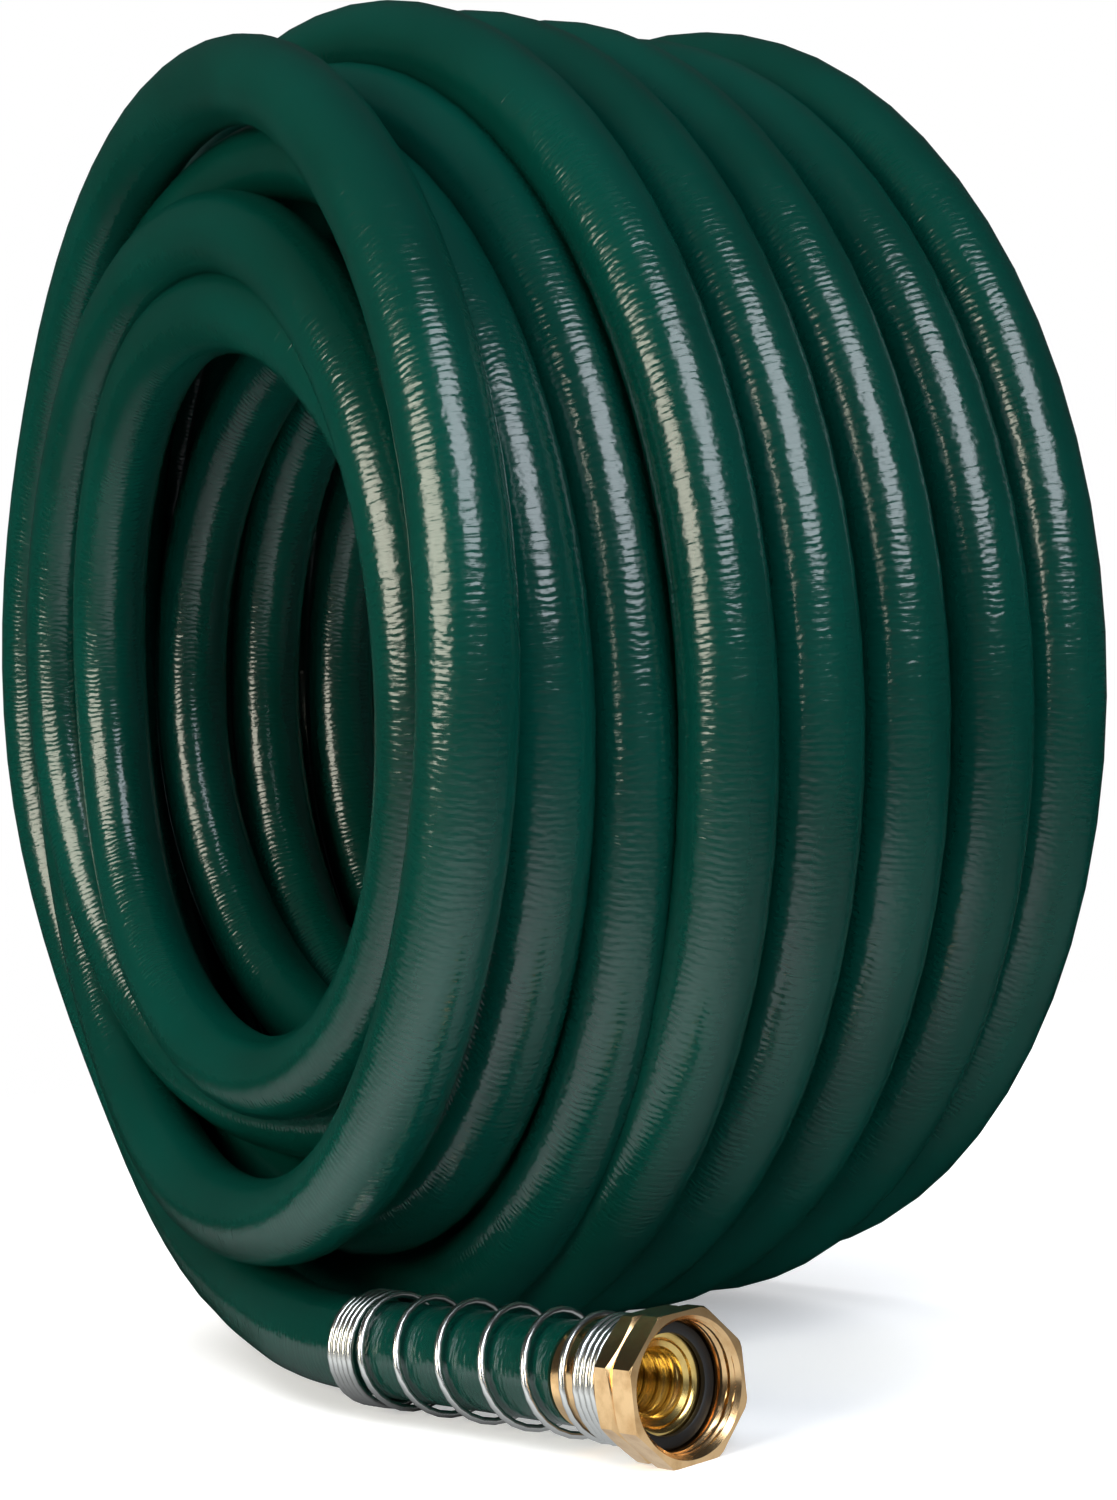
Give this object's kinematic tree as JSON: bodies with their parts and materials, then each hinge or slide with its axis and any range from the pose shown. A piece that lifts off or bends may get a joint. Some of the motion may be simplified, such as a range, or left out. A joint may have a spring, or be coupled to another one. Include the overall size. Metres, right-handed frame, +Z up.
{
  "type": "garden hose",
  "caption": "Coiled dark green garden hose standing on its rim, with a swivelling brass coupling and spring kink guard on one end and a male brass coupling inside the coil.",
  "frame": {"origin": "on the ground, below the middle of the coil's length and width", "axes": "+Z up, Y along the coil's axis with the near face towards -Y, the swivel coupling's mouth towards +X"},
  "size_m": [0.345, 0.1847, 0.3452],
  "materials": {
    "hose_vinyl": "glossy dark green vinyl",
    "brass": "machined, bright",
    "spring_steel": "bright drawn wire",
    "washer_rubber": "matt black"
  },
  "bodies": {
    "hose": {"hose_coil": "hose_vinyl", "hose_lead": "hose_vinyl", "hose_inner_end": "hose_vinyl", "kink_guard_spring": "spring_steel", "crimp_collar": "brass", "coupling_stem": "brass", "male_collar": "brass", "male_coupling": "brass"},
    "swivel_nut": {"coupling_nut": "brass", "rubber_washer": "washer_rubber"}
  },
  "joints": [
    {"name": "nut_swivel", "type": "hinge", "parent": "hose", "child": "swivel_nut", "pos_m": [0.16864, -0.04968, 0.0145], "axis": [0.9914, 0.1305, 0], "continuous": true}
  ]
}
